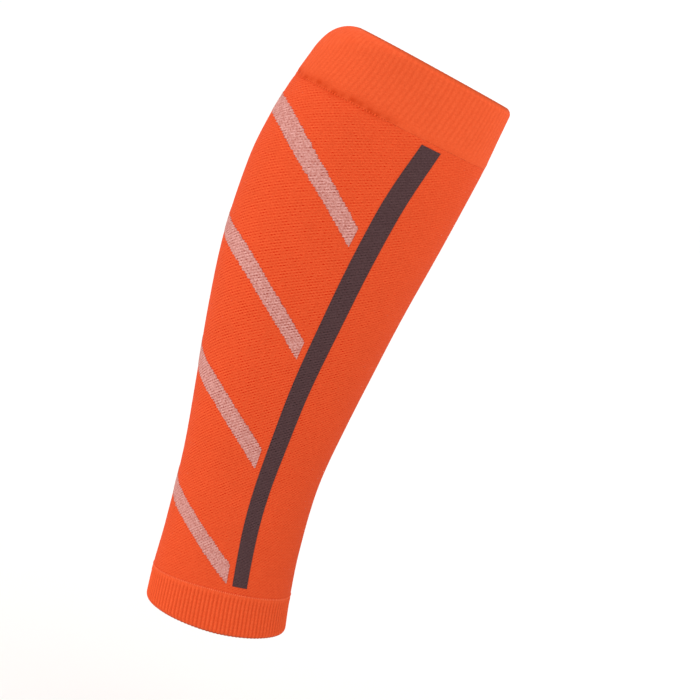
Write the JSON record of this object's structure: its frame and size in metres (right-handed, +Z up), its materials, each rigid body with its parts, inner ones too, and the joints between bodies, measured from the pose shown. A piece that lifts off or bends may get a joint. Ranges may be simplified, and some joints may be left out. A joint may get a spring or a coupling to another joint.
{
  "type": "calf compression sleeve",
  "caption": "Footless knitted compression sleeve for the calf, filled out as worn, with ribbed cuffs at knee and ankle, a dark side stripe and pale diagonal stripes.",
  "frame": {"origin": "on the leg's line, at the level just under the fullest part of the calf, where the leg holds the sleeve", "axes": "+Z up the leg to the knee, +X towards the shin, -X towards the calf muscle, -Y towards the outer side with the dark stripe"},
  "size_m": [0.1261, 0.1028, 0.3408],
  "materials": {
    "orange_knit": "fine plain knit, matt",
    "orange_rib": "ribbed knit, matt",
    "dark_knit": "fine plain knit, plum grey",
    "pale_heather_knit": "two-yarn heather knit, pinkish grey"
  },
  "bodies": {
    "root": {"sleeve_body": "orange_knit", "top_cuff": "orange_rib", "bottom_cuff": "orange_rib", "side_stripe": "dark_knit", "diagonal_stripe_1": "pale_heather_knit", "diagonal_stripe_2": "pale_heather_knit", "diagonal_stripe_3": "pale_heather_knit", "diagonal_stripe_4": "pale_heather_knit"}
  },
  "joints": []
}
